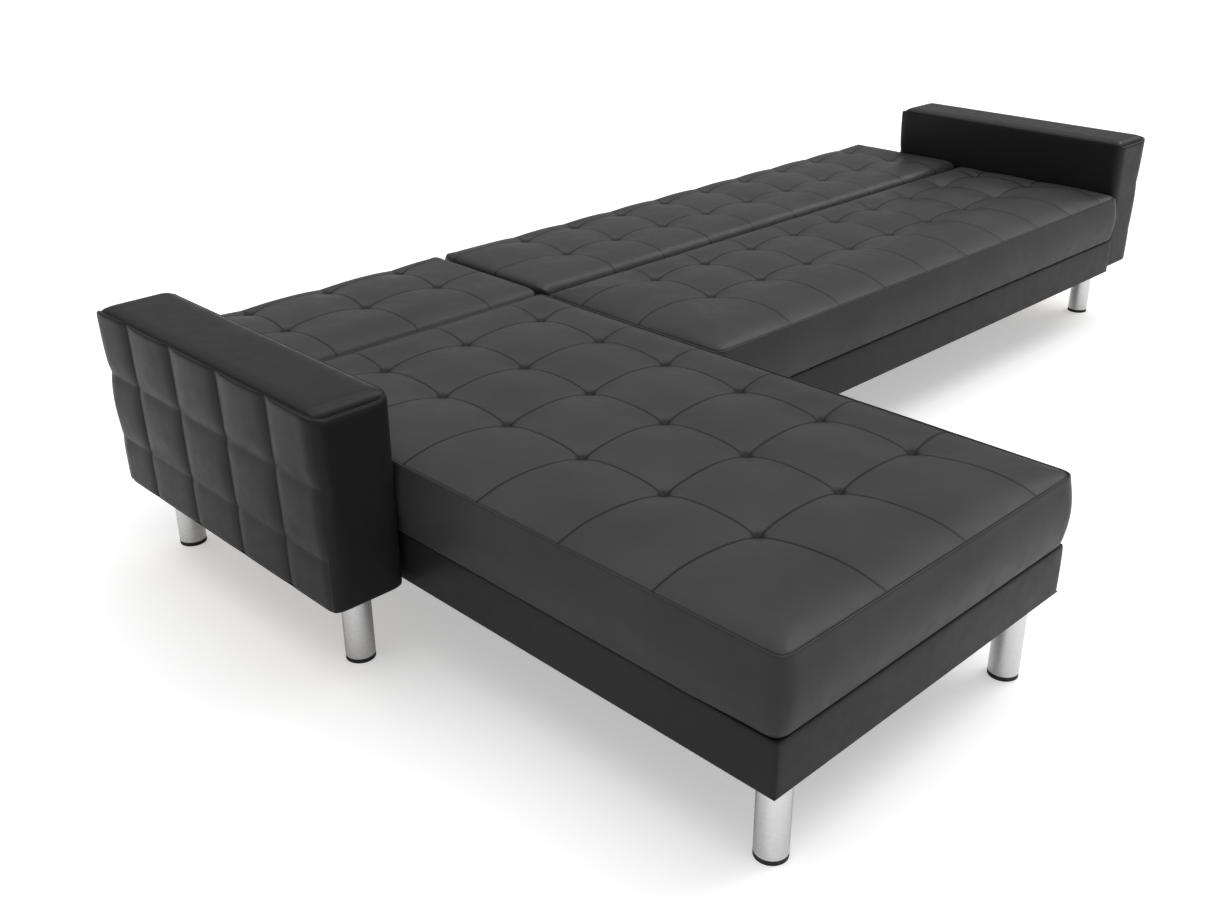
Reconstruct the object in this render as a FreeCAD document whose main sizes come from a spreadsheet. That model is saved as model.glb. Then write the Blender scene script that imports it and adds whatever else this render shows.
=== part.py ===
import FreeCAD, Part
import os
from math import pi

import Sketcher
from FreeCAD import Placement, Rotation, Vector

# Corner sofa bed: a chaise unit on the left and a two-seat unit on the right, each a low upholstered
# base with a seat cushion and a click-clack back that lies flat as a bed, between two padded arms.
# Frame: +X along the sofa towards the right arm, -Y to the front, +Z up, origin on the floor under
# the middle of the whole outline. The backs lie flat here, which is their joints' zero.

doc = FreeCAD.newDocument("sofa_bed")
sheet = doc.addObject("Spreadsheet::Sheet", "Sizes")

# Driving dimensions in millimetres: alias, value, meaning.
DRIVING = [
    ("inner_width", 2350, "clear width between the two arms"),
    ("chaise_width", 727, "left arm to the middle of the gap between the two units"),
    ("chaise_reach", 735, "how far the chaise stands out past the two-seat unit"),
    ("seat_depth", 488, "front of the two-seat cushion to its rear face"),
    ("seam_gap", 5, "between a seat cushion and the back behind it"),
    ("back_length", 363, "front to rear of a back that lies flat"),
    ("base_depth", 700, "front to rear of the two-seat base"),
    ("leg_height", 149, "floor to the underside of base liner and arm"),
    ("liner_thickness", 1, "dust liner stapled under a base"),
    ("base_height", 86, "base from liner to cushion"),
    ("cushion_thickness", 124, "seat cushion"),
    ("end_gap", 8, "between an arm and the base beside it"),
    ("unit_gap", 12, "between the two bases"),
    ("cushion_inset", 0.4, "each cushion end stands this far inside its base end"),
    ("cushion_round", 16, "rounding of the seat cushions' edges"),
    ("edge_radius", 35, "rounding of a back's long top edges, and its pivot's depth"),
    ("rail_thickness", 20, "base rails"),
    ("cover_thickness", 4, "padded base cover on the sides"),
    ("deck_thickness", 2, "base cover over the slats"),
    ("slat_thickness", 12, "slats"),
    ("slat_width", 60, "slats"),
    ("slat_pitch", 118, "largest distance from slat to slat"),
    ("block_size", 70, "corner blocks that the legs are screwed to"),
    ("back_clearance", 2, "between a base and the back that lies on it"),
    ("lining_thickness", 2, "lining over a back's underside"),
    ("board_thickness", 12, "back board"),
    ("board_setback", 25, "back board and lining stop this far inside the long edges"),
    ("cheek_width", 20, "wooden cheek at each end of a back"),
    ("arm_thickness", 136, "arm at its foot"),
    ("arm_lean", 8, "how far the outer face leans out at the top"),
    ("arm_top", 489, "floor to the top of an arm"),
    ("arm_depth", 687, "front to rear of an arm"),
    ("arm_setback", 17, "arm front behind the two-seat unit's front"),
    ("arm_corner", 24, "rounding of an arm's top corners"),
    ("arm_padding", 16, "padding over an arm's top, front and rear"),
    ("pad_lap", 14, "straight end of the top pad below each rounded corner"),
    ("outer_padding", 18, "quilted outer panel at its foot"),
    ("inner_padding", 12, "inner panel"),
    ("leg_diameter", 50, "chrome leg"),
    ("leg_wall", 1.5, "wall of the leg tube"),
    ("glide_height", 8, "visible height of the foot glide"),
    ("glide_plug", 14, "part of the glide inside the tube"),
    ("plate_margin", 7, "square leg plate past the leg on each side"),
    ("plate_thickness", 3, "leg plate"),
    ("leg_side_inset", 58, "chaise front leg's centre from the chaise side"),
    ("leg_front_inset", 44, "chaise front leg's centre from the chaise front"),
    ("arm_leg_inset", 50, "arm leg's centre from the arm's inner face"),
    ("arm_leg_front", 79, "arm leg's centre from the arm's front"),
    ("arm_leg_rear", 48, "arm leg's centre from the arm's rear"),
    ("screw_radius", 2.5, "wood screws"),
    ("screw_length", 22, "wood screws"),
    ("screw_edge", 9, "leg screws in from the plate's edges"),
    ("hinge_thickness", 2.5, "hinge plates"),
    ("hinge_clearance", 0.4, "between the two plates of a hinge"),
    ("hinge_pin_radius", 6, "hinge rivet"),
    ("running_clearance", 0.05, "radial clearance of rivets, screws in plates and glide plugs"),
    ("seat_plate_radius", 26, "half the width of the fixed hinge plate"),
    ("seat_screw_height", 27, "fixed plate's lower screw above the base's underside"),
    ("seat_screw_pitch", 30, "between the fixed plate's screws"),
    ("back_plate_radius", 20, "half the width of the moving hinge plate"),
    ("back_plate_length", 150, "rivet to the moving plate's far screw"),
    ("back_screw_pitch", 75, "between the moving plate's screws"),
    ("spacer_radius", 9, "spacer between the moving plate and the back"),
    ("bolt_radius", 4, "connector bolts"),
    ("bolt_bite", 36, "how far a connector bolt reaches into each side"),
    ("collar_radius", 16, "collar that keeps the gap at a connector bolt"),
    ("bolt_front", 150, "front connector bolt behind the two-seat unit's front"),
    ("bolt_pitch", 300, "between the connector bolts"),
]
for row, (alias, amount, meaning) in enumerate(DRIVING, start=1):
    sheet.set(f"A{row}", alias)
    sheet.set(f"B{row}", str(amount))
    sheet.setAlias(f"B{row}", alias)
    sheet.set(f"C{row}", meaning)
doc.recompute()


def size(alias):
    return float(sheet.get(alias))


def value(expression):
    return float(sheet.evalExpression(expression))


def term(expression):
    """The expression in brackets, each alias written as the sheet's own cell."""
    for alias, _, _ in sorted(DRIVING, key=lambda item: -len(item[0])):
        expression = expression.replace(f"@{alias}", f"Sizes.{alias}")
    return f"({expression})"


# Places worked out from the driving dimensions, as expressions.
DEPTH = term("@chaise_reach + @seat_depth + @seam_gap + @back_length")
LEFT = term("-@inner_width / 2")
RIGHT = term("@inner_width / 2")
SPLIT = term(f"{LEFT} + @chaise_width")
FRONT = term(f"-{DEPTH} / 2")
SEAT_FRONT = term(f"{FRONT} + @chaise_reach")
SEAM = term(f"{SEAT_FRONT} + @seat_depth")
BASE_REAR = term(f"{SEAT_FRONT} + @base_depth")
BACK_FRONT = term(f"{SEAM} + @seam_gap")
BASE_BOTTOM = term("@leg_height + @liner_thickness")
BASE_TOP = term(f"{BASE_BOTTOM} + @base_height")
SEAT_TOP = term(f"{BASE_TOP} + @cushion_thickness")
SLAT_TOP = term(f"{BASE_TOP} - @deck_thickness")
RAIL_TOP = term(f"{SLAT_TOP} - @slat_thickness")
PIVOT_Y = term(f"{BACK_FRONT} + @edge_radius")
PIVOT_Z = term(f"{SEAT_TOP} - @edge_radius")
PLATE_DROP = term(f"{PIVOT_Z} - {BASE_BOTTOM} - @seat_screw_height")
ARM_FRONT = term(f"{SEAT_FRONT} + @arm_setback")
ARM_REAR = term(f"{ARM_FRONT} + @arm_depth")

# Outline of each base in plan: low x, high x, low y, high y.
BASES = {
    "chaise": (term(f"{LEFT} + @end_gap"), term(f"{SPLIT} - @unit_gap / 2"), FRONT, BASE_REAR),
    "main": (term(f"{SPLIT} + @unit_gap / 2"), term(f"{RIGHT} - @end_gap"), SEAT_FRONT, BASE_REAR),
}

made = []


def keep(thing, label):
    thing.Label = label
    made.append(thing)
    return thing


def place(thing, x, y, z, turn=None):
    """Binds a piece's place to the sheet, turned first where a turn is given."""
    if turn is not None:
        thing.Placement = Placement(Vector(), turn)
    for axis, position in zip("xyz", (x, y, z)):
        thing.setExpression(f"Placement.Base.{axis}", position)
    return thing


def box(x, y, z, length, width, height):
    """A plain board with its low corner at x, y, z."""
    board = doc.addObject("Part::Box", "Board")
    board.setExpression("Length", length)
    board.setExpression("Width", width)
    board.setExpression("Height", height)
    return place(board, x, y, z)


def span(low, high):
    return term(f"{high} - {low}")


def cylinder(radius, height, x, y, z, turn=None):
    rod = doc.addObject("Part::Cylinder", "Rod")
    rod.setExpression("Radius", radius)
    rod.setExpression("Height", height)
    return place(rod, x, y, z, turn)


def fused(pieces):
    whole = doc.addObject("Part::MultiFuse", "Joined")
    whole.Shapes = pieces
    return whole


def cut(base, tool):
    rest = doc.addObject("Part::Cut", "Cut")
    rest.Base = base
    rest.Tool = tool
    return rest


def group(pieces, label):
    """Several separate solids of one kind, kept in one node."""
    whole = doc.addObject("Part::Compound", "Set")
    whole.Links = pieces
    return keep(whole, label)


def new_body():
    return doc.addObject("PartDesign::Body", "Body")


def new_sketch(body, plane):
    sketch = body.newObject("Sketcher::SketchObject", "Sketch")
    base = next(item for item in body.Origin.OriginFeatures if item.Role == plane)
    sketch.AttachmentSupport = [(base, "")]
    sketch.MapMode = "FlatFace"
    return sketch


def measure(sketch, kind, references, name, expression):
    """A named sketch dimension bound to the sheet."""
    index = sketch.addConstraint(Sketcher.Constraint(kind, *references, value(expression)))
    sketch.renameConstraint(index, name)
    sketch.setExpression(f"Constraints.{name}", expression)


def outline(sketch, corners):
    """A closed four-sided outline through the given starting corners."""
    for start, end in zip(corners, corners[1:] + corners[:1]):
        sketch.addGeometry(Part.LineSegment(Vector(*start, 0), Vector(*end, 0)))
    for side in range(4):
        sketch.addConstraint(Sketcher.Constraint("Coincident", side, 2, (side + 1) % 4, 1))
    sketch.addConstraint(Sketcher.Constraint("Coincident", 0, 1, -1, 1))
    sketch.addConstraint(Sketcher.Constraint("Horizontal", 0))
    sketch.addConstraint(Sketcher.Constraint("Horizontal", 2))


def pad(body, sketch, length):
    extrusion = body.newObject("PartDesign::Pad", "Pad")
    extrusion.Profile = sketch
    extrusion.setExpression("Length", length)
    sketch.Visibility = False
    doc.recompute()
    return extrusion


def round_edges(body, feature, wanted, radius):
    """Rounds the edges that wanted(edge, box) picks from the feature."""
    bounds = feature.Shape.BoundBox
    names = [
        f"Edge{number}"
        for number, edge in enumerate(feature.Shape.Edges, start=1)
        if wanted(edge, bounds)
    ]
    fillet = body.newObject("PartDesign::Fillet", "Round")
    fillet.Base = (feature, names)
    fillet.setExpression("Radius", radius)
    doc.recompute()
    return fillet


def block(x, y, z, length, width, height, wanted, radius):
    """A padded block with its low corner at x, y, z and some edges rounded."""
    body = new_body()
    sketch = new_sketch(body, "XY_Plane")
    outline(sketch, [(0, 0), (1, 0), (1, 1), (0, 1)])
    sketch.addConstraint(Sketcher.Constraint("Vertical", 1))
    sketch.addConstraint(Sketcher.Constraint("Vertical", 3))
    measure(sketch, "DistanceX", (0, 1, 0, 2), "length", length)
    measure(sketch, "DistanceY", (1, 1, 1, 2), "width", width)
    round_edges(body, pad(body, sketch, height), wanted, radius)
    return place(body, x, y, z)


def ends(edge):
    return [vertex.Point for vertex in edge.Vertexes]


def top_or_upright(edge, bounds):
    low, high = sorted(point.z for point in ends(edge))
    return high > bounds.ZMax - 1e-4


def top_along_x(edge, bounds):
    first, second = ends(edge)
    level = min(first.z, second.z) > bounds.ZMax - 1e-4
    return level and abs(first.y - second.y) < 1e-4


def base_frame(unit):
    """Rails, slats, padded cover and dust liner of one base."""
    low_x, high_x, low_y, high_y = BASES[unit]
    wall = "@cover_thickness"
    rail = "@rail_thickness"
    left, right = term(f"{low_x} + {wall}"), term(f"{high_x} - {wall}")
    front, rear = term(f"{low_y} + {wall}"), term(f"{high_y} - {wall}")
    tall = span(BASE_BOTTOM, RAIL_TOP)
    side_front = term(f"{front} + {rail}")
    side_length = term(f"{rear} - {front} - 2 * {rail}")
    thick = term(rail)
    for name, x, y, length, width in (
        ("front_rail", left, front, span(left, right), thick),
        ("rear_rail", left, term(f"{rear} - {rail}"), span(left, right), thick),
        ("left_rail", left, side_front, thick, side_length),
        ("right_rail", term(f"{right} - {rail}"), side_front, thick, side_length),
    ):
        keep(box(x, y, BASE_BOTTOM, length, width, tall), f"{unit}_{name}")

    # A long chaise is braced across its middle, a wide seat along its middle.
    cross_length = term(f"{right} - {left} - 2 * {rail}")
    cross = box(
        term(f"{left} + {rail}"), term(f"({front} + {rear} - {rail}) / 2"), BASE_BOTTOM,
        cross_length, thick, tall,
    )
    keep(cross, f"{unit}_cross_rail")

    # Slats lie on the rails: across the chaise, from front to rear under the two seats.
    across = unit == "chaise"
    run = span(front, rear) if across else span(left, right)
    start = front if across else left
    doc.recompute()
    cover_length = size("chaise_reach") + size("base_depth")
    seat_length = size("inner_width") - size("chaise_width")
    count = int((cover_length if across else seat_length) // size("slat_pitch")) + 1
    slats = []
    for index in range(count):
        step = term(f"{start} + ({run} - @slat_width) * {index} / {count - 1}")
        if across:
            slat = box(left, step, RAIL_TOP, span(left, right), term("@slat_width"),
                       term("@slat_thickness"))
        else:
            slat = box(step, front, RAIL_TOP, term("@slat_width"), span(front, rear),
                       term("@slat_thickness"))
        slats.append(slat)
    group(slats, f"{unit}_slats")

    outer = box(low_x, low_y, BASE_BOTTOM, span(low_x, high_x), span(low_y, high_y),
                span(BASE_BOTTOM, BASE_TOP))
    inner = box(left, front, BASE_BOTTOM, span(left, right), span(front, rear),
                span(BASE_BOTTOM, SLAT_TOP))
    keep(cut(outer, inner), f"{unit}_base_cover")
    liner = box(low_x, low_y, term("@leg_height"), span(low_x, high_x), span(low_y, high_y),
                term("@liner_thickness"))
    keep(liner, f"{unit}_dust_liner")


def seat_cushion(unit):
    low_x, high_x, low_y, _ = BASES[unit]
    cushion = block(
        term(f"{low_x} + @cushion_inset"), low_y, BASE_TOP,
        term(f"{high_x} - {low_x} - 2 * @cushion_inset"), span(low_y, SEAM),
        term("@cushion_thickness"), top_or_upright, term("@cushion_round"),
    )
    keep(cushion, f"{unit}_seat_cushion")


def back(unit):
    """Board with two cheeks, foam between the cheeks, and the lining underneath."""
    low_x, high_x, _, _ = BASES[unit]
    left = term(f"{low_x} + @cushion_inset")
    width = term(f"{high_x} - {low_x} - 2 * @cushion_inset")
    lining_z = term(f"{BASE_TOP} + @back_clearance")
    board_z = term(f"{lining_z} + @lining_thickness")
    foam_z = term(f"{board_z} + @board_thickness")
    foam_height = span(foam_z, SEAT_TOP)
    board_y = term(f"{BACK_FRONT} + @board_setback")
    board_depth = term("@back_length - 2 * @board_setback")
    cheek = term("@cheek_width")
    length = term("@back_length")
    radius = term("@edge_radius")
    board = box(left, board_y, board_z, width, board_depth, term("@board_thickness"))
    cheeks = [
        block(x, BACK_FRONT, foam_z, cheek, length, foam_height, top_along_x, radius)
        for x in (left, term(f"{left} + {width} - {cheek}"))
    ]
    keep(fused([board] + cheeks), f"{unit}_back_frame")
    cushion = block(
        term(f"{left} + {cheek}"), BACK_FRONT, foam_z, term(f"{width} - 2 * {cheek}"), length,
        foam_height, top_along_x, radius,
    )
    keep(cushion, f"{unit}_back_cushion")
    lining = box(left, board_y, lining_z, width, board_depth, term("@lining_thickness"))
    keep(lining, f"{unit}_back_lining")


def link_plate(length, radius, holes, thickness):
    """A flat bar with round ends, its first end's centre at the origin, and holes along it."""
    body = new_body()
    sketch = new_sketch(body, "XY_Plane")
    far, half = value(length), value(radius)
    for centre, start in ((0, pi / 2), (far, -pi / 2)):
        circle = Part.Circle(Vector(centre, 0, 0), Vector(0, 0, 1), half)
        sketch.addGeometry(Part.ArcOfCircle(circle, start, start + pi))
    sketch.addGeometry(Part.LineSegment(Vector(0, -half, 0), Vector(far, -half, 0)))
    sketch.addGeometry(Part.LineSegment(Vector(far, half, 0), Vector(0, half, 0)))
    for joint in ((0, 2, 2, 1), (2, 2, 1, 1), (1, 2, 3, 1), (3, 2, 0, 1)):
        sketch.addConstraint(Sketcher.Constraint("Tangent", *joint))
    sketch.addConstraint(Sketcher.Constraint("Coincident", 0, 3, -1, 1))
    sketch.addConstraint(Sketcher.Constraint("PointOnObject", 1, 3, -1))
    measure(sketch, "DistanceX", (0, 3, 1, 3), "length", length)
    measure(sketch, "Radius", (0,), "radius", radius)
    for number, (offset, hole) in enumerate(holes):
        middle = Vector(0 if offset is None else value(offset), 0, 0)
        item = sketch.addGeometry(Part.Circle(middle, Vector(0, 0, 1), value(hole)))
        if offset is None:
            sketch.addConstraint(Sketcher.Constraint("Coincident", item, 3, -1, 1))
        else:
            sketch.addConstraint(Sketcher.Constraint("PointOnObject", item, 3, -1))
            measure(sketch, "DistanceX", (-1, 1, item, 3), f"hole{number}", offset)
        measure(sketch, "Radius", (item,), f"bore{number}", hole)
    pad(body, sketch, thickness)
    return body


def along(low, amount, outwards):
    """Low face of something that reaches amount from low, towards +X or -X."""
    return low if outwards > 0 else term(f"{low} - {amount}")


def hinge(unit, side, seat_screws, pins):
    """One click-clack hinge in the gap beside a base: side is -1 at its low x end, +1 at the other."""
    low_x, high_x, _, _ = BASES[unit]
    face = high_x if side > 0 else low_x
    sign = "+" if side > 0 else "-"
    word = "right" if side > 0 else "left"
    thick = term("@hinge_thickness")
    bore = term("@hinge_pin_radius + @running_clearance")
    screw_bore = term("@screw_radius + @running_clearance")

    # The fixed plate hangs down from the rivet onto the base's end.
    upper_drop = term(f"{PLATE_DROP} - @seat_screw_pitch")
    fixed = link_plate(
        PLATE_DROP, term("@seat_plate_radius"),
        [(None, bore), (PLATE_DROP, screw_bore), (upper_drop, screw_bore)],
        thick,
    )
    down = Rotation(Vector(0, 0, -1), Vector(0, 1, 0), Vector(1, 0, 0), "ZYX")
    place(fixed, along(face, thick, side), PIVOT_Y, PIVOT_Z, down)
    keep(fixed, f"{unit}_hinge_{word}_seat_plate")

    # The moving plate runs along the back's end, held off it by two spacers.
    stand = term("@hinge_thickness + @hinge_clearance")
    moving = link_plate(
        term("@back_plate_length"), term("@back_plate_radius"),
        [
            (None, bore),
            (term("@back_plate_length"), screw_bore),
            (term("@back_plate_length - @back_screw_pitch"), screw_bore),
        ],
        thick,
    )
    rearward = Rotation(Vector(0, 1, 0), Vector(0, 0, 1), Vector(1, 0, 0), "ZXY")
    moving_x = along(term(f"{face} {sign} {stand}"), thick, side)
    place(moving, moving_x, PIVOT_Y, PIVOT_Z, rearward)
    keep(moving, f"{unit}_hinge_{word}_back_plate")

    lying = Rotation(Vector(0, 1, 0), 90)
    pin_length = term("2 * @hinge_thickness + 2 * @hinge_clearance")
    pins.append(cylinder(term("@hinge_pin_radius"), pin_length,
                         along(face, pin_length, side), PIVOT_Y, PIVOT_Z, lying))
    screw = term("@screw_radius")
    long = term("@screw_length")
    inwards = -side
    for drop in (PLATE_DROP, upper_drop):
        head = term(f"{face} {sign} {thick}")
        seat_screws.append(cylinder(screw, long, along(head, long, inwards), PIVOT_Y,
                                    term(f"{PIVOT_Z} - {drop}"), lying))
    fixings = []
    spacer = term("@hinge_thickness + @hinge_clearance + @cushion_inset")
    inner = term(f"{face} {'-' if side > 0 else '+'} @cushion_inset")
    for reach in ("@back_plate_length", "@back_plate_length - @back_screw_pitch"):
        y = term(f"{PIVOT_Y} + {term(reach)}")
        head = term(f"{face} {sign} {stand} {sign} {thick}")
        fixings.append(cylinder(screw, long, along(head, long, inwards), y, PIVOT_Z, lying))
        ring = cylinder(term("@spacer_radius"), spacer, along(inner, spacer, side), y, PIVOT_Z, lying)
        hole = cylinder(screw_bore, spacer, along(inner, spacer, side), y, PIVOT_Z, lying)
        fixings.append(cut(ring, hole))
    return fixings


def arm(side):
    """One arm: wooden core, padded top, front and rear, and an inner and an outer panel."""
    word = "right" if side > 0 else "left"
    inner_face = RIGHT if side > 0 else LEFT
    sign = "+" if side > 0 else "-"
    bottom = term("@leg_height")
    tall = term("@arm_top - @leg_height")
    pad_depth = term("@arm_padding")
    corner = term("@arm_corner")
    core_width = term("@arm_thickness - @outer_padding - @inner_padding")
    core_face = term(f"{inner_face} {sign} @inner_padding")
    core_x = along(core_face, core_width, side)
    core_depth = term("@arm_depth - 2 * @arm_padding")
    core_y = term(f"{ARM_FRONT} + @arm_padding")
    core = block(core_x, core_y, bottom, core_width, core_depth, term(f"{tall} - {pad_depth}"),
                 top_along_x, term("@arm_corner - @arm_padding"))
    keep(core, f"{word}_arm_core")

    # The top pad bends down over both corners and meets the front and rear pads there.
    lap_height = term("@arm_corner + @pad_lap")
    bend = term(f"@arm_top - {lap_height}")
    over = block(core_x, ARM_FRONT, bend, core_width, term("@arm_depth"), lap_height,
                 top_along_x, corner)
    under = block(core_x, core_y, bend, core_width, core_depth, term(f"{lap_height} - {pad_depth}"),
                  top_along_x, term("@arm_corner - @arm_padding"))
    keep(cut(over, under), f"{word}_arm_top_pad")
    upright = span(bottom, bend)
    keep(box(core_x, ARM_FRONT, bottom, core_width, pad_depth, upright), f"{word}_arm_front_pad")
    keep(box(core_x, term(f"{ARM_REAR} - {pad_depth}"), bottom, core_width, pad_depth, upright),
         f"{word}_arm_rear_pad")

    inner = block(along(inner_face, term("@inner_padding"), side), ARM_FRONT, bottom,
                  term("@inner_padding"), term("@arm_depth"), tall, top_along_x, corner)
    keep(inner, f"{word}_arm_inner_panel")

    # The outer panel is thicker at the top, so that its face leans out.
    outer = new_body()
    sketch = new_sketch(outer, "XZ_Plane")
    outline(sketch, [(0, 0), (1, 0), (1.2, 1), (0, 1)])
    sketch.addConstraint(Sketcher.Constraint("Vertical", 3))
    measure(sketch, "DistanceX", (0, 1, 0, 2), "foot", term("@outer_padding"))
    measure(sketch, "DistanceX", (2, 2, 2, 1), "top", term("@outer_padding + @arm_lean"))
    measure(sketch, "DistanceY", (3, 2, 3, 1), "height", tall)
    round_edges(outer, pad(outer, sketch, term("@arm_depth")), top_along_x, corner)
    turn = Rotation(Vector(0, 0, 1), 0 if side > 0 else 180)
    outer_face = term(f"{inner_face} {sign} (@arm_thickness - @outer_padding)")
    place(outer, outer_face, ARM_REAR if side > 0 else ARM_FRONT, bottom, turn)
    keep(outer, f"{word}_arm_outer_panel")


def leg(label, x, y, glides, plates, screws):
    """One leg: chrome tube, foot glide plugged into it, plate and its four screws."""
    body = new_body()
    sketch = new_sketch(body, "XY_Plane")
    for radius in (2, 1):
        item = sketch.addGeometry(Part.Circle(Vector(), Vector(0, 0, 1), radius))
        sketch.addConstraint(Sketcher.Constraint("Coincident", item, 3, -1, 1))
    measure(sketch, "Radius", (0,), "outer", term("@leg_diameter / 2"))
    measure(sketch, "Radius", (1,), "inner", term("@leg_diameter / 2 - @leg_wall"))
    plate_z = term("@leg_height - @plate_thickness")
    pad(body, sketch, term(f"{plate_z} - @glide_height"))
    keep(place(body, x, y, term("@glide_height")), label)

    foot = cylinder(term("@leg_diameter / 2"), term("@glide_height"), x, y, term("0"))
    plug = cylinder(term("@leg_diameter / 2 - @leg_wall - @running_clearance"),
                    term("@glide_plug"), x, y, term("@glide_height"))
    glides.append(fused([foot, plug]))
    half = term("@leg_diameter / 2 + @plate_margin")
    spread = term(f"{half} - @screw_edge")
    plate = box(term(f"{x} - {half}"), term(f"{y} - {half}"), plate_z, term(f"2 * {half}"),
                term(f"2 * {half}"), term("@plate_thickness"))
    holes = []
    for across in ("-", "+"):
        for along_y in ("-", "+"):
            place_x = term(f"{x} {across} {spread}")
            place_y = term(f"{y} {along_y} {spread}")
            holes.append(cylinder(term("@screw_radius + @running_clearance"),
                                  term("@plate_thickness"), place_x, place_y, plate_z))
            screws.append(cylinder(term("@screw_radius"), term("@screw_length"), place_x,
                                   place_y, plate_z))
    plates.append(cut(plate, fused(holes)))


def corner_block(unit, side, rear):
    """A block in a base's corner, over a leg."""
    low_x, high_x, low_y, high_y = BASES[unit]
    inset = term("@cover_thickness + @rail_thickness")
    wide = term("@block_size")
    x = term(f"{low_x} + {inset}") if side < 0 else term(f"{high_x} - {inset} - {wide}")
    y = term(f"{high_y} - {inset} - {wide}") if rear else term(f"{low_y} + {inset}")
    return box(x, y, BASE_BOTTOM, wide, wide, span(BASE_BOTTOM, RAIL_TOP))


def connector(face, gap, y):
    """A bolt across a gap, with a collar that keeps the gap's width."""
    lying = Rotation(Vector(0, 1, 0), 90)
    z = term(f"({BASE_BOTTOM} + {RAIL_TOP}) / 2")
    bolt = cylinder(term("@bolt_radius"), term(f"{gap} + 2 * @bolt_bite"),
                    term(f"{face} - @bolt_bite"), y, z, lying)
    collar = cylinder(term("@collar_radius"), term(gap), face, y, z, lying)
    return fused([bolt, collar])


for unit in BASES:
    base_frame(unit)
    seat_cushion(unit)
    back(unit)

wood_screws, rivets = [], []
for unit in BASES:
    fixings = hinge(unit, -1, wood_screws, rivets) + hinge(unit, 1, wood_screws, rivets)
    group(fixings, f"{unit}_back_hinge_fixings")
group(rivets, "hinge_rivets")

for side in (-1, 1):
    arm(side)

# Legs stand under the chaise's front corners, under the two-seat unit's corners beside the chaise
# and under both ends of each arm.
chaise_low, chaise_high, chaise_front, _ = BASES["chaise"]
main_low, _, main_front, main_rear = BASES["main"]
chaise_leg_y = term(f"{chaise_front} + @leg_front_inset")
middle_leg_x = term(f"{main_low} + @leg_side_inset")
arm_front_y = term(f"{ARM_FRONT} + @arm_leg_front")
arm_rear_y = term(f"{ARM_REAR} - @arm_leg_rear")
LEGS = {
    "chaise_front_left_leg": (term(f"{chaise_low} + @leg_side_inset"), chaise_leg_y),
    "chaise_front_right_leg": (term(f"{chaise_high} - @leg_side_inset"), chaise_leg_y),
    "middle_front_leg": (middle_leg_x, term(f"{main_front} + @leg_side_inset")),
    "middle_rear_leg": (middle_leg_x, term(f"{main_rear} - @leg_side_inset")),
    "left_arm_front_leg": (term(f"{LEFT} - @arm_leg_inset"), arm_front_y),
    "left_arm_rear_leg": (term(f"{LEFT} - @arm_leg_inset"), arm_rear_y),
    "right_arm_front_leg": (term(f"{RIGHT} + @arm_leg_inset"), arm_front_y),
    "right_arm_rear_leg": (term(f"{RIGHT} + @arm_leg_inset"), arm_rear_y),
}
glides, plates = [], []
for label, (x, y) in LEGS.items():
    leg(label, x, y, glides, plates, wood_screws)
group(glides, "leg_glides")
group(plates, "leg_plates")
group(wood_screws, "wood_screws")
group(
    [
        corner_block("chaise", -1, False),
        corner_block("chaise", 1, False),
        corner_block("main", -1, False),
        corner_block("main", -1, True),
    ],
    "corner_blocks",
)

bolts = []
GAPS = ((LEFT, "@end_gap"), (chaise_high, "@unit_gap"), (term(f"{RIGHT} - @end_gap"), "@end_gap"))
for face, gap in GAPS:
    for step in (0, 1):
        y = term(f"{SEAT_FRONT} + @bolt_front + {step} * @bolt_pitch")
        bolts.append(connector(face, term(gap), y))
group(bolts, "connector_bolts")

doc.recompute()
for thing in doc.Objects:
    if "Invalid" in thing.State or "Error" in thing.State:
        raise RuntimeError(f"{thing.Name} ({thing.Label}) failed: {thing.State}")
for thing in made:
    if thing.Shape.isNull() or not thing.Shape.isValid() or not thing.Shape.Solids:
        raise RuntimeError(f"{thing.Label} has no valid solid")

os.makedirs("parts", exist_ok=True)
for thing in made:
    thing.Shape.exportStep(f"parts/{thing.Label}.step")
print(len(made), "sub-parts written")
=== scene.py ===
import math

import bpy
import numpy as np
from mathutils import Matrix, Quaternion, Vector


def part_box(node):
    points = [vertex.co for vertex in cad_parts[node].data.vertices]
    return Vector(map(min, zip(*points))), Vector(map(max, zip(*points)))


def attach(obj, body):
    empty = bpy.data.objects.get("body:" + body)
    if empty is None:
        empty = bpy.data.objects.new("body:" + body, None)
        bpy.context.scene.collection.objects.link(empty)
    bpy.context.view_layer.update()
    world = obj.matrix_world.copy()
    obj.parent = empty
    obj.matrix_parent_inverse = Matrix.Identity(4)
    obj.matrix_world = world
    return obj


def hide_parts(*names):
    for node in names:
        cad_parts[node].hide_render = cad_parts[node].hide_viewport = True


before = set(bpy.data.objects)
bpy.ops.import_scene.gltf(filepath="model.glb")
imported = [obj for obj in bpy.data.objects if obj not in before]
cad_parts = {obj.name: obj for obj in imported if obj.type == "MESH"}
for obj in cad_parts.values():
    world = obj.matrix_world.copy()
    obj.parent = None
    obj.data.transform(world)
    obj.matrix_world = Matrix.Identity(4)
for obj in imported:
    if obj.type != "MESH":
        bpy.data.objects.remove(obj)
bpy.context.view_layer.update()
scene = bpy.context.scene

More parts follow.
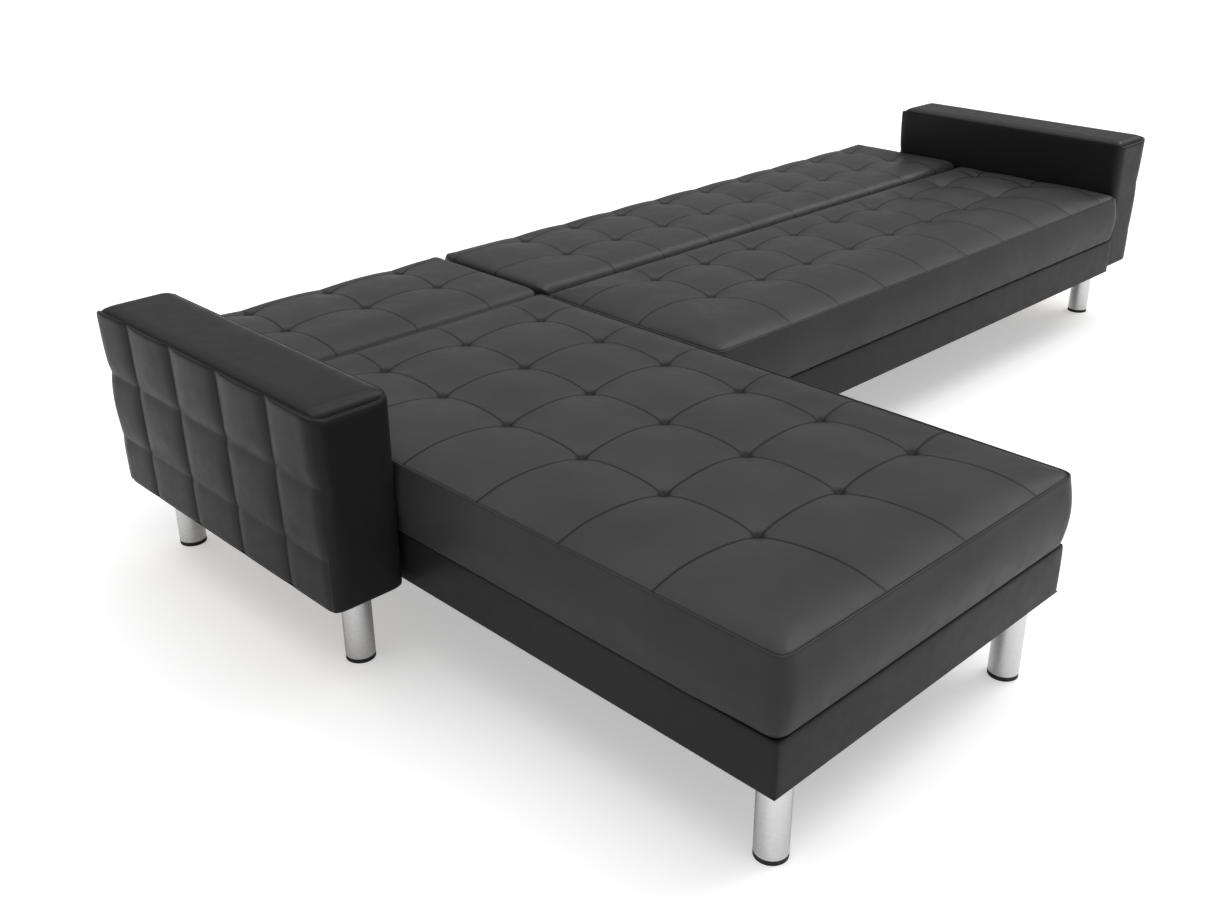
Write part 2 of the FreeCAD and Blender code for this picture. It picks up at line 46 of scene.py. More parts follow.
# The studio: a pale seamless floor under a white sky, one wide soft light overhead and a smaller one
# from the right, and a camera at standing height off the left front corner, looking over the chaise.
eye = Vector((-2.244, -1.600, 1.266))
heading, dip, roll = math.radians(44.5), math.radians(25.35), math.radians(0.3)
ahead = Vector((math.sin(heading) * math.cos(dip), math.cos(heading) * math.cos(dip), -math.sin(dip)))
camera = bpy.data.objects.new("camera", bpy.data.cameras.new("camera"))
camera.location = eye
camera.rotation_mode = "QUATERNION"
camera.rotation_quaternion = Quaternion(ahead, roll) @ ahead.to_track_quat("-Z", "Y")
camera.data.sensor_width = 36
camera.data.lens = 39.6
camera.data.shift_x, camera.data.shift_y = -0.0025, -0.003
camera.data.clip_end = 200
scene.collection.objects.link(camera)
scene.camera = camera
scene.view_settings.view_transform = "Standard"


def node(tree, kind, sockets=None, **settings):
    """Adds a shader node, sets it up and joins or sets its input sockets."""
    made = tree.nodes.new(f"ShaderNode{kind}")
    for name, setting in settings.items():
        setattr(made, name, setting)
    for name, content in (sockets or {}).items():
        if isinstance(content, bpy.types.NodeSocket):
            tree.links.new(content, made.inputs[name])
        else:
            made.inputs[name].default_value = content
    return made


def finish_for(name, **sockets):
    """A material with one Principled shader: returns the material, its tree and the shader."""
    material = bpy.data.materials.new(name)
    material.use_nodes = True
    tree = material.node_tree
    shader = tree.nodes["Principled BSDF"]
    for socket, setting in sockets.items():
        shader.inputs[socket.replace("_", " ")].default_value = setting
    return material, tree, shader


def two_strengths(tree, socket, lighting, seen):
    """Gives a glow one strength where it lights things and another where the camera sees it."""
    rays = node(tree, "LightPath")
    camera_ray = rays.outputs["Is Camera Ray"]
    glow = node(tree, "MapRange", {"Value": camera_ray, "To Min": lighting, "To Max": seen})
    tree.links.new(glow.outputs["Result"], socket)


sky = bpy.data.worlds.new("sky")
sky.use_nodes = True
backdrop = sky.node_tree.nodes["Background"]
backdrop.inputs["Color"].default_value = (1, 1, 1, 1)
two_strengths(sky.node_tree, backdrop.inputs["Strength"], 0.40, 1.0)
scene.world = sky
lamps = (
    # name, direction it shines from, spread in degrees, strength
    ("overhead", (0.15, 0.10, 1.0), 75, 1.6),
    ("right", (0.85, -0.20, 0.80), 30, 0.8),
)
for name, source, spread, strength in lamps:
    lamp = bpy.data.objects.new(name, bpy.data.lights.new(name, "SUN"))
    lamp.data.angle = math.radians(spread)
    lamp.data.energy = strength
    lamp.rotation_euler = Vector(source).to_track_quat("Z", "Y").to_euler()
    scene.collection.objects.link(lamp)

reach = 60
floor_corners = [(-reach, -reach, 0), (reach, -reach, 0), (reach, reach, 0), (-reach, reach, 0)]
floor_mesh = bpy.data.meshes.new("floor")
floor_mesh.from_pydata(floor_corners, [], [(0, 1, 2, 3)])
floor = bpy.data.objects.new("floor", floor_mesh)
paint, tree, shader = finish_for("floor_paint", Roughness=0.6, Specular_IOR_Level=0.2)
shader.inputs["Emission Color"].default_value = (1, 1, 1, 1)
two_strengths(tree, shader.inputs["Emission Strength"], 0.08, 0.42)
haze = node(tree, "TexNoise", {"Scale": 0.8})
tone = node(tree, "MapRange", {"Value": haze.outputs["Fac"], "To Min": 0.86, "To Max": 0.88})
tree.links.new(tone.outputs["Result"], shader.inputs["Base Color"])
floor_mesh.materials.append(paint)
scene.collection.objects.link(floor)


# The two bases: wooden rails and slats under thin wadding and black faux leather, stapled under
# the rails. The leather also covers the deck that the seat cushions and the folded backs lie on.
def shader_group(name, inputs, outputs):
    """An empty node group with named inputs and outputs."""
    group = bpy.data.node_groups.new(name, "ShaderNodeTree")
    for label, kind, start in inputs:
        group.interface.new_socket(label, in_out="INPUT", socket_type=kind).default_value = start
    for label, kind in outputs:
        group.interface.new_socket(label, in_out="OUTPUT", socket_type=kind)
    return group


# Faux leather: a pebbled grain with fine pores, cloudy dye, and painted shade near black along the seam
# grooves and in the tuft pinches.
leather_grain = shader_group(
    "leather_grain",
    [("Dye", "NodeSocketColor", (0.03, 0.03, 0.03, 1)), ("Pebble Size", "NodeSocketFloat", 0.0012),
     ("Polish", "NodeSocketFloat", 0.5)],
    [("Colour", "NodeSocketColor"), ("Roughness", "NodeSocketFloat"), ("Height", "NodeSocketFloat")],
)
given = node(leather_grain, "TexCoord").outputs["Object"]
group_in = leather_grain.nodes.new("NodeGroupInput")
group_out = leather_grain.nodes.new("NodeGroupOutput")
per_metre = node(leather_grain, "Math", {0: 1.0, 1: group_in.outputs["Pebble Size"]}, operation="DIVIDE")
pebbles = node(leather_grain, "TexVoronoi", {"Vector": given, "Scale": per_metre.outputs[0]},
               feature="SMOOTH_F1")
pores = node(leather_grain, "TexNoise", {"Vector": given, "Scale": 420.0, "Detail": 3.0})
height = node(leather_grain, "Math", {0: pebbles.outputs["Distance"], 1: 0.7, 2: pores.outputs["Fac"]},
              operation="MULTIPLY_ADD")
clouds = node(leather_grain, "TexNoise", {"Vector": given, "Scale": 5.0, "Detail": 3.0})
scuffs = node(leather_grain, "TexNoise", {"Vector": given, "Scale": 38.0, "Detail": 5.0})
cloudy = node(leather_grain, "MapRange", {"Value": clouds.outputs["Fac"], "From Min": 0.3, "From Max": 0.7,
                                          "To Min": 0.86, "To Max": 1.14})
dyed = node(leather_grain, "VectorMath", {0: group_in.outputs["Dye"]}, operation="SCALE")
leather_grain.links.new(cloudy.outputs["Result"], dyed.inputs["Scale"])
# Painted shade: the seam marks mix the dye towards near black, for the shade in the seam grooves and the
# tuft pinches.
sewn = node(leather_grain, "Attribute", attribute_name="seam")
seam_shade = node(leather_grain, "MapRange", {"Value": sewn.outputs["Fac"], "From Min": 0.12, "From Max": 0.75})
shaded = node(leather_grain, "Mix", {"Factor": seam_shade.outputs["Result"], "A": dyed.outputs[0],
                                     "B": (0.003, 0.003, 0.003, 1)}, data_type="RGBA")
worn = node(leather_grain, "MapRange", {"Value": scuffs.outputs["Fac"], "From Min": 0.3, "From Max": 0.7,
                                        "To Min": -0.05, "To Max": 0.05})
dull = node(leather_grain, "Math", {0: worn.outputs["Result"], 1: group_in.outputs["Polish"]},
            operation="ADD")
leather_grain.links.new(shaded.outputs["Result"], group_out.inputs["Colour"])
leather_grain.links.new(dull.outputs[0], group_out.inputs["Roughness"])
leather_grain.links.new(height.outputs[0], group_out.inputs["Height"])


def surface(tree, shader, colour, roughness, bump=None):
    """Joins a finish's colour, roughness and bump to its shader."""
    tree.links.new(colour, shader.inputs["Base Color"])
    tree.links.new(roughness, shader.inputs["Roughness"])
    if bump:
        tree.links.new(bump.outputs["Normal"], shader.inputs["Normal"])


def leather(name, dye, pebble, polish):
    """One copy of the sofa's black faux leather, from its dye, the size of its pebbles and its dullness. Its
    dye also holds painted light: a lighter copy for the lit cushion tops, a darker one for the shaded sides.
    """
    material, tree, shader = finish_for(name, Specular_IOR_Level=0.16, Coat_Weight=0.02, Coat_Roughness=0.25)
    grain = tree.nodes.new("ShaderNodeGroup")
    grain.node_tree = leather_grain
    for label, setting in (("Dye", (*dye, 1)), ("Pebble Size", pebble), ("Polish", polish)):
        grain.inputs[label].default_value = setting
    bump = node(tree, "Bump", {"Height": grain.outputs["Height"], "Strength": 0.35, "Distance": 0.00015})
    surface(tree, shader, grain.outputs["Colour"], grain.outputs["Roughness"], bump)
    return material


# Painted shade: the bases' and arms' covers get a dye 2.5 times darker than the cushions', for sides turned
# from the light.
cover_leather = leather("cover_leather", (0.016, 0.016, 0.0164), 0.0011, 0.38)


def stations(low, high, seams, step, tuck):
    """Grid lines from low to high about a step apart, with a close pair beside each seam."""
    lines = [low]
    for first, last in zip([low, *seams], [*seams, high]):
        count = max(2, round((last - first) / step))
        lines += [*np.linspace(first + tuck, last - tuck, count), last]
    return np.array(lines)


def boxed(xs, ys, corners, top, sides, foot, swell, closed=True):
    """A cover of one top panel and a band of sides round it, as points, faces and seam marks.

    The panel follows top(x, y, edge), edge being the distance in from its border. corners are its
    plan radii at the front and at the rear. Each side row is (share of the way down to foot, how far
    out, seam mark), and swell(row, out) is how far the filling pushes out a row of points, out being
    the way each one faces. A closed cover has an underside too."""
    grid_x, grid_y = np.meshgrid(xs, ys, indexing="ij")
    edge = np.minimum(np.minimum(grid_x - xs[0], xs[-1] - grid_x),
                      np.minimum(grid_y - ys[0], ys[-1] - grid_y))
    x, y = grid_x.copy(), grid_y.copy()
    for end_x, way_x in ((xs[0], 1), (xs[-1], -1)):
        for end_y, way_y, radius in ((ys[0], 1, corners[0]), (ys[-1], -1, corners[1])):
            across = (end_x + way_x * radius - grid_x) * way_x
            along = (end_y + way_y * radius - grid_y) * way_y
            inside = (across > 0) & (along > 0)
            pull = np.maximum(across, along) / np.maximum(np.hypot(across, along), 1e-9)
            x = np.where(inside, end_x + way_x * (radius - across * pull), x)
            y = np.where(inside, end_y + way_y * (radius - along * pull), y)
    z = top(x, y, edge)
    wide, deep = len(xs), len(ys)
    number = np.arange(wide * deep).reshape(wide, deep)
    points = [np.stack([x, y, z], -1).reshape(-1, 3)]
    faces = [
        (number[i, j], number[i + 1, j], number[i + 1, j + 1], number[i, j + 1])
        for i in range(wide - 1) for j in range(deep - 1)
    ]
    loop = np.concatenate([number[:-1, 0], number[-1, :-1], number[:0:-1, -1], number[0, :0:-1]])
    rim = points[0][loop]
    run = np.roll(rim, -1, 0) - np.roll(rim, 1, 0)
    out = np.stack([run[:, 1], -run[:, 0]], -1) / np.linalg.norm(run[:, :2], axis=1)[:, None]
    marks = [np.zeros(wide * deep)]
    upper, total = loop, wide * deep
    for share, reach, mark in sides:
        row = rim.copy()
        row[:, 2] += (foot - rim[:, 2]) * share
        row[:, :2] += out * (reach + swell(row, out))[:, None]
        lower = total + np.arange(len(loop))
        total += len(loop)
        points.append(row)
        marks.append(np.full(len(loop), float(mark)))
        faces += zip(upper, lower, np.roll(lower, -1), np.roll(upper, -1))
        upper = lower
    if closed:
        under = total + np.arange(wide * deep).reshape(wide, deep)
        under[1:-1, 1:-1] = total + np.arange((wide - 2) * (deep - 2)).reshape(wide - 2, deep - 2)
        under.ravel()[loop] = upper
        inner = np.stack([x, y, np.full(x.shape, foot)], -1)[1:-1, 1:-1].reshape(-1, 3)
        points.append(inner)
        marks.append(np.zeros(len(inner)))
        faces += [
            (under[i, j], under[i, j + 1], under[i + 1, j + 1], under[i + 1, j])
            for i in range(wide - 1) for j in range(deep - 1)
        ]
    return np.concatenate(points), [tuple(map(int, face)) for face in faces], np.concatenate(marks)


def sewn_piece(name, points, faces, marks, material, levels=1):
    """A smooth piece from points and faces, creased along its seam marks and rounded by subdivision."""
    mesh = bpy.data.meshes.new(name)
    mesh.from_pydata(points.tolist(), [], faces)
    mesh.polygons.foreach_set("use_smooth", np.ones(len(faces), bool))
    # The marks are kept as the 'seam' attribute, which the leather paints as shade near black.
    mesh.attributes.new("seam", "FLOAT", "POINT").data.foreach_set("value", marks.astype(np.float32))
    ends = np.zeros(len(mesh.edges) * 2, int)
    mesh.edges.foreach_get("vertices", ends)
    sewn = marks[ends.reshape(-1, 2)].min(1) > 0.9
    mesh.attributes.new("crease_edge", "FLOAT", "EDGE").data.foreach_set("value", sewn * 0.9)
    mesh.materials.append(material)
    mesh.update()
    piece = bpy.data.objects.new(name, mesh)
    scene.collection.objects.link(piece)
    rounding = piece.modifiers.new("rounding", "SUBSURF")
    rounding.levels = rounding.render_levels = levels
    return piece


def no_swell(row, out):
    """Stretched leather with no filling to push it out."""
    return np.zeros(len(row))


seam_tuck = 0.003
hem = 0.002
leather_thickness = 0.0014
base_corner = 0.004
base_step = 0.03
below_liner = 0.0003
base_sides = [(share, reach, 0) for share, reach in
              ((0.02, 0.0012), (0.06, hem), (0.2, hem + 0.0006), (0.5, hem + 0.001), (0.8, hem + 0.0006),
               (0.94, hem + 0.0004), (0.985, hem + 0.0004), (1.0, hem), (1.0, -hem))]
for unit in ("chaise", "main"):
    low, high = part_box(f"{unit}_base_cover")
    xs = stations(low.x + hem, high.x - hem, [], base_step, seam_tuck)
    ys = stations(low.y + hem, high.y - hem, [], base_step, seam_tuck)
    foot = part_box(f"{unit}_dust_liner")[0].z - below_liner

    def deck(x, y, edge):
        return np.full(x.shape, high.z)

    points, faces, marks = boxed(xs, ys, (base_corner, base_corner), deck, base_sides, foot, no_swell,
                                 closed=False)
    cover = sewn_piece(f"{unit}_base_leather", points, faces, marks, cover_leather, 2)
    skin = cover.modifiers.new("leather", "SOLIDIFY")
    skin.thickness = leather_thickness
    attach(cover, "base")
    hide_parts(f"{unit}_base_cover")


# The two seat cushions: foam slabs in boxed covers of black faux leather. Blind tufts pull the top
# panel down in rows, and plain turned seams run both ways through them, out to the border seam.
# Painted light: the cushions get a dye 2.5 times lighter than the covers', for their lit tops.
cushion_leather = leather("cushion_leather", (0.040, 0.040, 0.041), 0.0012, 0.40)


tuft_depth, tuft_reach = 0.015, 0.021
tuft_hold = 0.005
on_seam = 1e-5
panel_step = 0.011


def tufted(x, y, columns, rows, valley):
    """How far a tufted panel sinks: a pinch at every tuft and a shallow valley along every seam."""
    across = np.abs(x[..., None] - np.array(columns)).min(-1)
    along = np.abs(y[..., None] - np.array(rows)).min(-1)
    tuft = np.hypot(across, along)
    pinch = tuft_depth * np.exp(-np.hypot(tuft, 0.004) / tuft_reach)
    nearness = 0.45 + 0.55 * np.exp(-tuft / 0.05)
    folds = np.maximum(np.exp(-across / 0.014), np.exp(-along / 0.014))
    return pinch + valley * nearness * folds


def gaps(points, columns, rows):
    """How far points are from the nearest tuft column and from the nearest tuft row."""
    across = np.abs(points[:, :1] - np.array(columns)).min(1)
    along = np.abs(points[:, 1:2] - np.array(rows)).min(1)
    return across, along


def seam_marks(panel, columns, rows, border):
    """Seam marks of a tufted panel's points: its seams, its tufts and its border. The leather paints them
    all as shade; the tuft marks, at 0.9, give no crease and are painted shade only.
    """
    across, along = gaps(panel, columns, rows)
    tuft_shade = 0.9 * (np.hypot(across, along) < 0.006)
    return np.maximum.reduce([np.minimum(across, along) < on_seam, tuft_shade, border])


def border_marks(xs, ys):
    """A mark of 1 on each of a panel's points that lies on its border seam, and 0 elsewhere."""
    border = np.zeros((len(xs), len(ys)))
    border[[0, -1], :] = border[:, [0, -1]] = 1
    return border.ravel()


def inflate(piece, held):
    """Swells a sewn cover over its filling, fixed where held is 1, and keeps the shape it takes."""
    pressure, steps, cap = 1.6, 16, 0.008
    mesh = piece.data
    start = np.zeros(len(mesh.vertices) * 3)
    mesh.vertices.foreach_get("co", start)
    group = piece.vertex_groups.new(name="held")
    for weight in np.unique(held):
        group.add(np.flatnonzero(held == weight).tolist(), float(weight), "REPLACE")
    rounding = piece.modifiers["rounding"]
    rounding.show_viewport = False
    cloth = piece.modifiers.new("cover", "CLOTH")
    settings = cloth.settings
    settings.quality = 6
    settings.mass = 0.4
    settings.tension_stiffness = settings.compression_stiffness = 10
    settings.shear_stiffness = 4
    settings.bending_stiffness = 0.6
    settings.air_damping = 3
    settings.use_pressure = True
    settings.uniform_pressure_force = pressure
    settings.vertex_group_mass = "held"
    settings.effector_weights.gravity = 0
    cloth.collision_settings.use_collision = False
    cloth.point_cache.frame_end = steps
    for step in range(1, steps + 1):
        scene.frame_set(step)
    shaped = piece.evaluated_get(bpy.context.evaluated_depsgraph_get()).data
    swollen = np.zeros(len(start))
    shaped.vertices.foreach_get("co", swollen)
    piece.modifiers.remove(cloth)
    piece.vertex_groups.remove(group)
    scene.frame_set(1)
    moved = (swollen - start).reshape(-1, 3)
    far = np.linalg.norm(moved, axis=1)
    moved *= np.minimum(1, cap / np.maximum(far, 1e-9))[:, None]
    mesh.vertices.foreach_set("co", start + moved.ravel())
    mesh.update()
    rounding.show_viewport = True
    print(piece.name, "cloth moved", round(float(far.max()) * 1000, 1), "mm")


def quarter_roll(edge, width, fall):
    """How far a panel has rolled down at a distance in from its border."""
    share = np.clip(1 - edge / width, 0, 1)
    return fall * (1 - np.sqrt(1 - share**2))


seats = {
    # tuft columns from the left end, tuft rows from the front, roll width, roll fall
    "chaise": ((0.2216, 0.4116, 0.6036), (0.222, 0.403, 0.580, 0.760, 0.933, 1.102), 0.040, 0.010),
    "main": ([0.2286 + 0.162 * step for step in range(9)], (0.2205, 0.383), 0.060, 0.018),
}
inset = 0.004
bulge = 0.008
seat_crown, seat_valley = 0.007, 0.0022
seat_sides = [(-0.025, 0.0012, 0), (-0.02, 0.003, 0), (0.01, 0.0044, 0), (0.06, 0.0052, 0)]
for share in np.linspace(0.14, 0.92, 8):
    seat_sides.append((share, 0.0045 + bulge * math.sin(math.pi * share) ** 1.2, 0))
seat_sides += [(0.97, 0.0035, 0), (0.995, 0.0005, 0), (1.0, -0.004, 0)]
for unit, (columns, rows, roll_width, fall) in seats.items():
    low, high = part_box(f"{unit}_seat_cushion")
    columns = [low.x + step for step in columns]
    rows = [low.y + step for step in rows]
    xs = stations(low.x + inset, high.x - inset, columns, panel_step, seam_tuck)
    ys = stations(low.y + inset, high.y - inset, rows, panel_step, seam_tuck)

    def top(x, y, edge):
        sink = tufted(x, y, columns, rows, seat_valley) * np.clip(edge / 0.012, 0.3, 1)
        return high.z + seat_crown - quarter_roll(edge, roll_width, fall) - sink

    def flush(row, out):
        """The left side's foot, which comes out flush with the base except near the front."""
        side = np.clip((-out[:, 0] - 0.9) * 10, 0, 1) * np.clip((row[:, 1] - ys[0] - 0.06) / 0.08, 0, 1)
        return 0.004 * side * np.clip((low.z + 0.012 - row[:, 2]) / 0.012, 0, 1)

    points, faces, marks = boxed(xs, ys, (0.016, 0.012), top, seat_sides, low.z, flush)
    border = border_marks(xs, ys)
    panel = points[:len(border)]
    marks[:len(border)] = seam_marks(panel, columns, rows, border)
    cushion = sewn_piece(f"{unit}_seat_upholstery", points, faces, marks, cushion_leather)
    held = np.ones(len(points))
    held[:len(border)] = np.maximum(np.hypot(*gaps(panel, columns, rows)) < tuft_hold, border)
    inflate(cushion, held)
    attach(cushion, "base")
    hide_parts(f"{unit}_seat_cushion")


# The two backs, folded flat: foam on a board with wooden cheeks, covered like the seats. The front
# edge is one fat roll round the hinge line, and the rear edge puffs out between the seams.
backs = {
    # tuft columns from the left end, tuft rows from the front
    "chaise": ((0.2056, 0.3956, 0.5816), (0.1825, 0.3185)),
    "main": ([0.2176 + 0.161 * step for step in range(9)], (0.162, 0.306)),
}
back_crown, back_valley = 0.010, 0.0025
long_roll, long_fall = 0.035, 0.030
end_roll, end_fall = 0.020, 0.012
back_sides = [(share, -0.0004, 0) for share in (0.08, 0.2, 0.35, 0.5, 0.65, 0.8, 0.9)]
back_sides += [(0.96, -0.0015, 0), (0.99, -0.004, 0), (1.0, -0.008, 0)]
for unit, (columns, rows) in backs.items():
    low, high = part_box(f"{unit}_back_frame")
    columns = [low.x + step for step in columns]
    rows = [low.y + step for step in rows]
    xs = stations(low.x, high.x, columns, panel_step, seam_tuck)
    ys = stations(low.y, high.y, rows, panel_step, seam_tuck)

    def top(x, y, edge):
        sink = tufted(x, y, columns, rows, back_valley) * np.clip(edge / 0.03, 0, 1)
        end = np.minimum(x - xs[0], xs[-1] - x)
        long_side = np.minimum(y - ys[0], ys[-1] - y)
        fall = np.hypot(quarter_roll(long_side, long_roll, long_fall), quarter_roll(end, end_roll, end_fall))
        return high.z + back_crown - fall - sink

    def puffed(row, out):
        """The rear edge, which puffs out between the seams."""
        seam_gap = np.abs(row[:, :1] - np.array(columns)).min(1)
        full = np.clip((row[:, 2] - low.z) / 0.03, 0, 1)
        return np.clip(out[:, 1], 0, 1) * full * (0.002 + 0.007 * (1 - np.exp(-seam_gap / 0.03)))

    points, faces, marks = boxed(xs, ys, (0.024, 0.050), top, back_sides, low.z, puffed)
    count = len(xs) * len(ys)
    panel = points[:count]
    marks[:count] = seam_marks(panel, columns, rows, np.zeros(count))
    cushion = sewn_piece(f"{unit}_back_upholstery", points, faces, marks, cushion_leather)
    held = np.ones(len(points))
    edge = np.minimum(np.minimum(panel[:, 0] - xs[0], xs[-1] - panel[:, 0]),
                      np.minimum(panel[:, 1] - ys[0], ys[-1] - panel[:, 1]))
    held[:count] = (np.hypot(*gaps(panel, columns, rows)) < tuft_hold) | (edge < 0.02)
    inflate(cushion, held)
    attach(cushion, f"{unit}_back")
    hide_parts(f"{unit}_back_cushion", f"{unit}_back_frame")


# The two arms: wooden cores under foam. A smooth top panel is sewn in along its border, and a band
# goes round all four sides, quilted in squares on the outer side.
lean = 0.008
arm_crown = 0.004
arm_step = 0.012
arm_corner = 0.016
shoulder = 0.007
for side, word in ((-1, "left"), (1, "right")):
    outer_low, outer_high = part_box(f"{word}_arm_outer_panel")
    inner_low, inner_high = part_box(f"{word}_arm_inner_panel")
    low = Vector(map(min, outer_low, inner_low))
    high = Vector(map(max, outer_high, inner_high))
    quilt_columns = [low.y + step for step in (0.131, 0.277, 0.4265, 0.573)]
    quilt_rows = [low.z + step for step in (0.091, 0.218)]
    xs = stations(low.x + inset, high.x - inset, [], arm_step, seam_tuck)
    ys = stations(low.y + inset, high.y - inset, quilt_columns, arm_step, seam_tuck)

    def top(x, y, edge):
        front = np.minimum(y - ys[0], ys[-1] - y)
        return high.z + arm_crown - quarter_roll(edge, 0.018, 0.008) - quarter_roll(front, 0.018, 0.010)

    def quilted(row, out):
        """The puffed squares between quilting seams, on a side that leans in towards its foot."""
        outer = np.clip(out[:, 0] * side, 0, 1)
        across = np.abs(row[:, 1:2] - np.array(quilt_columns)).min(1)
        along = np.abs(row[:, 2:3] - np.array(quilt_rows)).min(1)
        height = (row[:, 2] - low.z) / (high.z - low.z)
        rear = np.clip(out[:, 1], 0, 1)
        pillow = (1 - np.exp(-across / 0.03)) * (1 - np.exp(-along / 0.03))
        pillow = pillow * np.clip(row[:, 2] / low.z - 1, 0, 1)
        seams = 0.0035 * np.exp(-across / 0.006) * outer**4 + 0.0025 * np.exp(-along / 0.006) * outer
        return 0.006 * pillow * np.maximum(outer, rear) - lean * (1 - height) * outer - seams

    drop = high.z - shoulder - low.z
    heights = stations(low.z + 0.006, high.z - 0.012, quilt_rows, arm_step, seam_tuck)[::-1]
    sides = [(-0.006, 0.0014, 0), (0.0, 0.0032, 0)]
    for z in heights:
        sides.append(((high.z - shoulder - z) / drop, 0.004, 0))
    sides += [(0.995, 0.003, 0), (1.0, 0.0, 0)]
    points, faces, marks = boxed(xs, ys, (arm_corner, arm_corner), top, sides, low.z, quilted)
    border = border_marks(xs, ys)
    marks[:len(border)] = border
    # The quilting seams are marked too: creased, and painted as shade in their grooves.
    on_row = np.abs(points[:, 2:3] - np.array(quilt_rows)).min(1) < 1e-4
    on_column = np.abs(points[:, 1:2] - np.array(quilt_columns)).min(1) < 1e-4
    outer_face = max(abs(low.x), abs(high.x))
    outside = (points[:, 0] * side > outer_face - 0.03) & (points[:, 2] < high.z - 0.012)
    marks = np.maximum(marks, outside & (on_row | on_column))
    cover = sewn_piece(f"{word}_arm_upholstery", points, faces, marks, cover_leather)
    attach(cover, "base")
    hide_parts(*(f"{word}_arm_{part}" for part in
                         ("top_pad", "front_pad", "rear_pad", "inner_panel", "outer_panel")))


# The eight legs: round steel tubes in satin chrome. A black plastic glide is plugged into the foot of
# each, and its plate is screwed up under a base or an arm.
def dress(names, material):
    """Gives CAD pieces whose shape stays as it is their own finish."""
    for name in names:
        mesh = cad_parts[name].data
        mesh.materials.clear()
        mesh.materials.append(material)


satin_chrome, tree, shader = finish_for("satin_chrome", Metallic=1.0)
place = node(tree, "TexCoord").outputs["Object"]
stretch = node(tree, "Mapping", {"Vector": place, "Scale": (60, 60, 2400)})
lines = node(tree, "TexNoise", {"Vector": stretch.outputs[0], "Scale": 1.0, "Detail": 2.0})
dull = node(tree, "MapRange", {"Value": lines.outputs["Fac"], "To Min": 0.20, "To Max": 0.34})
tone = node(tree, "MapRange", {"Value": lines.outputs["Fac"], "To Min": 0.74, "To Max": 0.86})
bump = node(tree, "Bump", {"Height": lines.outputs["Fac"], "Strength": 0.15, "Distance": 0.00005})
surface(tree, shader, tone.outputs["Result"], dull.outputs["Result"], bump)
dress([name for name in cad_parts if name.endswith("_leg")], satin_chrome)

glide_plastic, tree, shader = finish_for("glide_plastic", Specular_IOR_Level=0.4)
specks = node(tree, "TexNoise", {"Scale": 900.0, "Detail": 2.0})
dull = node(tree, "MapRange", {"Value": specks.outputs["Fac"], "To Min": 0.45, "To Max": 0.65})
tone = node(tree, "MapRange", {"Value": specks.outputs["Fac"], "To Min": 0.012, "To Max": 0.022})
surface(tree, shader, tone.outputs["Result"], dull.outputs["Result"])
dress(["leg_glides"], glide_plastic)


# The wooden frame inside: planed rails, slats and corner blocks, and the two arm cores. The legs'
# plates and the hinges' fixed plates are screwed to it.
frame_wood, tree, shader = finish_for("frame_wood", Specular_IOR_Level=0.3)
place = node(tree, "TexCoord").outputs["Object"]
along_grain = node(tree, "Mapping", {"Vector": place, "Scale": (3.0, 14.0, 14.0)})
rings = node(tree, "TexNoise", {"Vector": along_grain.outputs[0], "Scale": 2.0, "Detail": 4.0,
                                "Distortion": 1.2})
bands = node(tree, "TexWave", {"Vector": along_grain.outputs[0], "Scale": 3.0, "Distortion": 6.0,
                               "Detail": 3.0}, bands_direction="Z")
grain = node(tree, "Mix", {"Factor": 0.5, "A": rings.outputs["Fac"], "B": bands.outputs["Fac"]})
tone = node(tree, "Mix", {"Factor": grain.outputs["Result"], "A": (0.46, 0.29, 0.14, 1),
                          "B": (0.66, 0.47, 0.27, 1)}, data_type="RGBA")
dull = node(tree, "MapRange", {"Value": grain.outputs["Result"], "To Min": 0.55, "To Max": 0.75})
bump = node(tree, "Bump", {"Height": grain.outputs["Result"], "Strength": 0.3, "Distance": 0.0004})
surface(tree, shader, tone.outputs["Result"], dull.outputs["Result"], bump)
dress([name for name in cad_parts
       if name.endswith(("_rail", "_slats", "_core")) or name == "corner_blocks"], frame_wood)


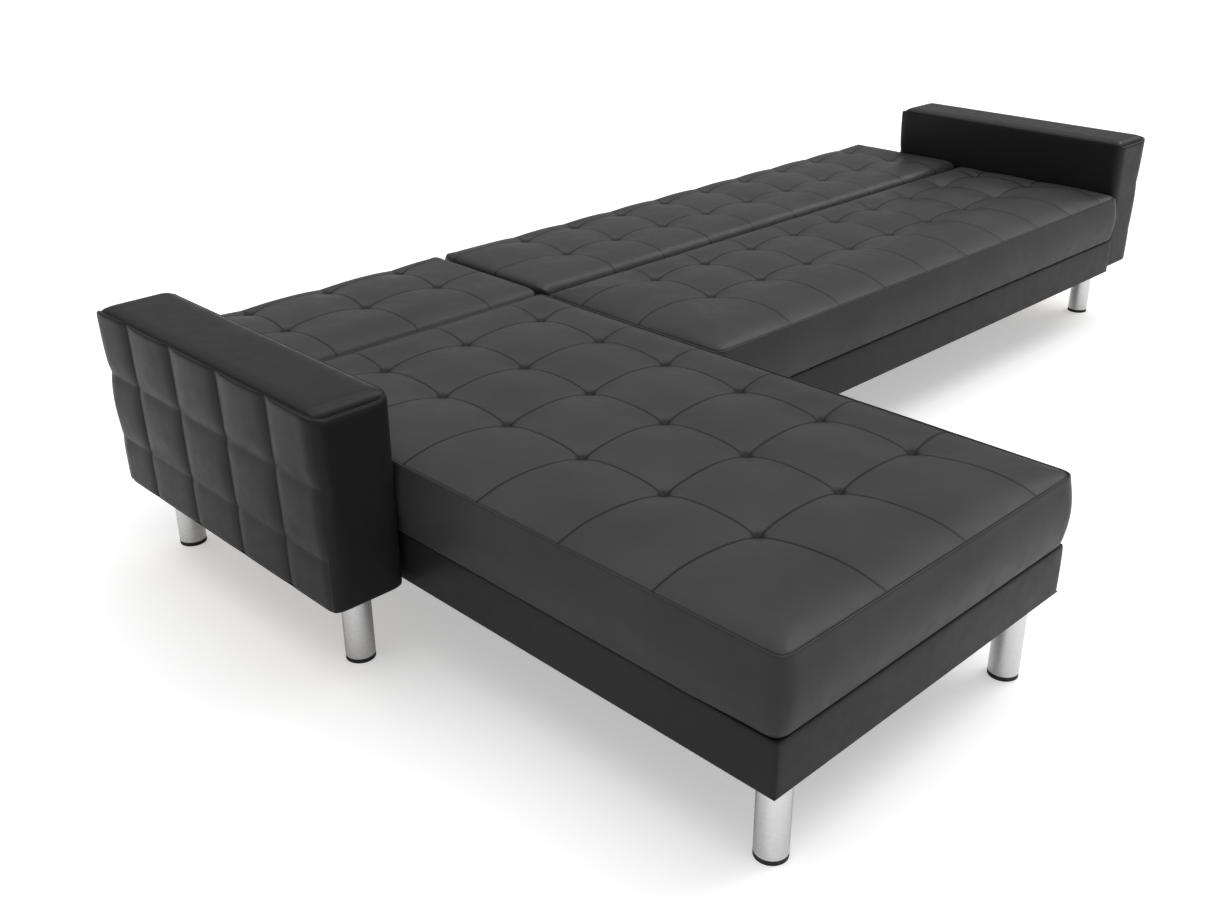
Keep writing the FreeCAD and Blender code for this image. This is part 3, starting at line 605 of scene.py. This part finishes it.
# The dust liners under the bases and the linings under the backs: black spun-bonded fabric,
# stapled to the wood, with a fine dimpled web.
lining_fabric, tree, shader = finish_for("lining_fabric", Sheen_Weight=0.2)
place = node(tree, "TexCoord").outputs["Object"]
dimples = node(tree, "TexVoronoi", {"Vector": place, "Scale": 700.0})
fibres = node(tree, "TexNoise", {"Vector": place, "Scale": 300.0, "Detail": 4.0})
tone = node(tree, "MapRange", {"Value": fibres.outputs["Fac"], "To Min": 0.012, "To Max": 0.034})
dull = node(tree, "MapRange", {"Value": fibres.outputs["Fac"], "To Min": 0.80, "To Max": 0.95})
bump = node(tree, "Bump", {"Height": dimples.outputs["Distance"], "Strength": 0.4, "Distance": 0.0003})
surface(tree, shader, tone.outputs["Result"], dull.outputs["Result"], bump)
dress([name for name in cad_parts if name.endswith(("_dust_liner", "_back_lining"))], lining_fabric)


# The screws, the backs' hinge fixings, the leg plates and the connector bolts: turned and pressed
# steel, zinc plated, with a faint crystalline bloom.
zinc_steel, tree, shader = finish_for("zinc_steel", Metallic=1.0)
place = node(tree, "TexCoord").outputs["Object"]
bloom = node(tree, "TexVoronoi", {"Vector": place, "Scale": 160.0})
streaks = node(tree, "TexNoise", {"Vector": place, "Scale": 90.0, "Detail": 4.0})
tone = node(tree, "MapRange", {"Value": bloom.outputs["Distance"], "To Min": 0.52, "To Max": 0.68})
dull = node(tree, "MapRange", {"Value": streaks.outputs["Fac"], "To Min": 0.30, "To Max": 0.50})
bump = node(tree, "Bump", {"Height": streaks.outputs["Fac"], "Strength": 0.2, "Distance": 0.0001})
surface(tree, shader, tone.outputs["Result"], dull.outputs["Result"], bump)
dress([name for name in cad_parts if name.endswith("_hinge_fixings")
       or name in ("wood_screws", "leg_plates", "connector_bolts")], zinc_steel)


# The click-clack hinges between the bases and the backs: pressed steel plates, riveted together, in
# black enamel with a little orange peel.
hinge_enamel, tree, shader = finish_for("hinge_enamel", Specular_IOR_Level=0.4)
place = node(tree, "TexCoord").outputs["Object"]
peel = node(tree, "TexNoise", {"Vector": place, "Scale": 500.0, "Detail": 2.0})
tone = node(tree, "MapRange", {"Value": peel.outputs["Fac"], "To Min": 0.008, "To Max": 0.016})
dull = node(tree, "MapRange", {"Value": peel.outputs["Fac"], "To Min": 0.35, "To Max": 0.55})
bump = node(tree, "Bump", {"Height": peel.outputs["Fac"], "Strength": 0.2, "Distance": 0.0001})
surface(tree, shader, tone.outputs["Result"], dull.outputs["Result"], bump)
dress([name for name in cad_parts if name.endswith("_plate") or name == "hinge_rivets"], hinge_enamel)
